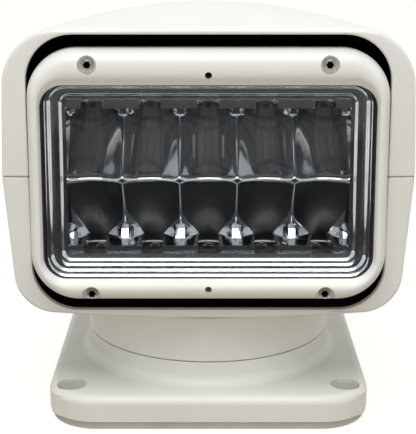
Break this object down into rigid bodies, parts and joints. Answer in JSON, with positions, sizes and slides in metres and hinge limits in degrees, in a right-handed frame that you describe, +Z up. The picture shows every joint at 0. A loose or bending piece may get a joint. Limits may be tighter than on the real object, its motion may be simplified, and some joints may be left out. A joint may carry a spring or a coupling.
{
  "type": "marine searchlight",
  "caption": "Remote controlled marine searchlight: square deck base, turning collar, two-shell head and tilting LED lamp with a mirrored bowl array behind a clear window.",
  "frame": {"origin": "centre of the underside of the deck gasket, on the pan axis", "axes": "+Z up from the deck, the window faces -Y, +X to the right seen from the front"},
  "size_m": [0.1872, 0.1612, 0.1944],
  "materials": {
    "gasket_rubber": "matt moulded rubber",
    "housing_white": "semi-gloss moulded white",
    "seam_rubber": "matt",
    "black_plastic": "matt moulded",
    "gear_plastic": "moulded acetal",
    "stainless": "bright machined",
    "zinc_plated": "zinc plated sheet",
    "bronze": "machined",
    "anodised": "black anodised casting",
    "board_green": "solder mask",
    "board_white": "solder mask",
    "led_phosphor": "silicone dome",
    "clear_lens": "polished clear",
    "mirror_coat": "vacuum metallised mirror",
    "lens_rubber": "matt"
  },
  "bodies": {
    "base": {"deck_gasket": "gasket_rubber", "base_plate": "housing_white", "spindle": "stainless", "sun_gear": "gear_plastic", "sun_screw_1": "stainless", "sun_screw_2": "stainless", "sun_screw_3": "stainless", "thrust_washer": "bronze", "power_inlet": "black_plastic"},
    "turret": {"turret_collar": "housing_white", "spindle_nut": "bronze", "lower_shell": "housing_white", "upper_shell": "housing_white", "seam_gasket": "seam_rubber", "shell_screw_1": "stainless", "shell_screw_2": "stainless", "shell_screw_3": "stainless", "shell_screw_4": "stainless", "chassis": "zinc_plated", "chassis_screw_1": "stainless", "chassis_screw_2": "stainless", "chassis_screw_3": "stainless", "chassis_screw_4": "stainless", "tilt_bush_left": "bronze", "tilt_bush_right": "bronze", "tilt_bracket": "zinc_plated", "bracket_screw_1": "stainless", "bracket_screw_2": "stainless", "tilt_motor": "zinc_plated", "pan_motor": "zinc_plated", "control_board": "board_green"},
    "lamp": {"lamp_bezel": "housing_white", "bezel_screw_1": "stainless", "bezel_screw_2": "stainless", "bezel_screw_3": "stainless", "bezel_screw_4": "stainless", "lens": "clear_lens", "lens_gasket": "lens_rubber", "reflector": "mirror_coat", "led_board_upper": "board_white", "led_board_lower": "board_white", "led_01": "led_phosphor", "led_02": "led_phosphor", "led_03": "led_phosphor", "led_04": "led_phosphor", "led_05": "led_phosphor", "led_06": "led_phosphor", "led_07": "led_phosphor", "led_08": "led_phosphor", "led_09": "led_phosphor", "led_10": "led_phosphor", "lamp_housing": "anodised", "trunnion_left": "stainless", "trunnion_right": "stainless", "tilt_sector": "stainless", "lamp_gland": "black_plastic"},
    "pan_pinion": {"pan_pinion": "stainless"},
    "tilt_pinion": {"tilt_pinion": "stainless"}
  },
  "joints": [
    {"name": "pan", "type": "hinge", "parent": "base", "child": "turret", "pos_m": [0, 0, 0.03], "axis": [0, 0, 1], "range_deg": [-175, 175]},
    {"name": "tilt", "type": "hinge", "parent": "turret", "child": "lamp", "pos_m": [0, -0.032, 0.12], "axis": [-1, 0, 0], "range_deg": [-14, 10]},
    {"name": "pan_pinion_spin", "type": "hinge", "parent": "turret", "child": "pan_pinion", "pos_m": [-0.02411, 0.02873, 0.0355], "axis": [0, 0, 1], "range_deg": [-720, 720]},
    {"name": "tilt_pinion_spin", "type": "hinge", "parent": "turret", "child": "tilt_pinion", "pos_m": [0.0744, 0.023, 0.12], "axis": [-1, 0, 0], "range_deg": [-75, 105]}
  ],
  "couplings": [
    {"joint": "pan_pinion_spin", "follows": "pan", "ratio": 4},
    {"joint": "tilt_pinion_spin", "follows": "tilt", "ratio": -6.8571}
  ]
}
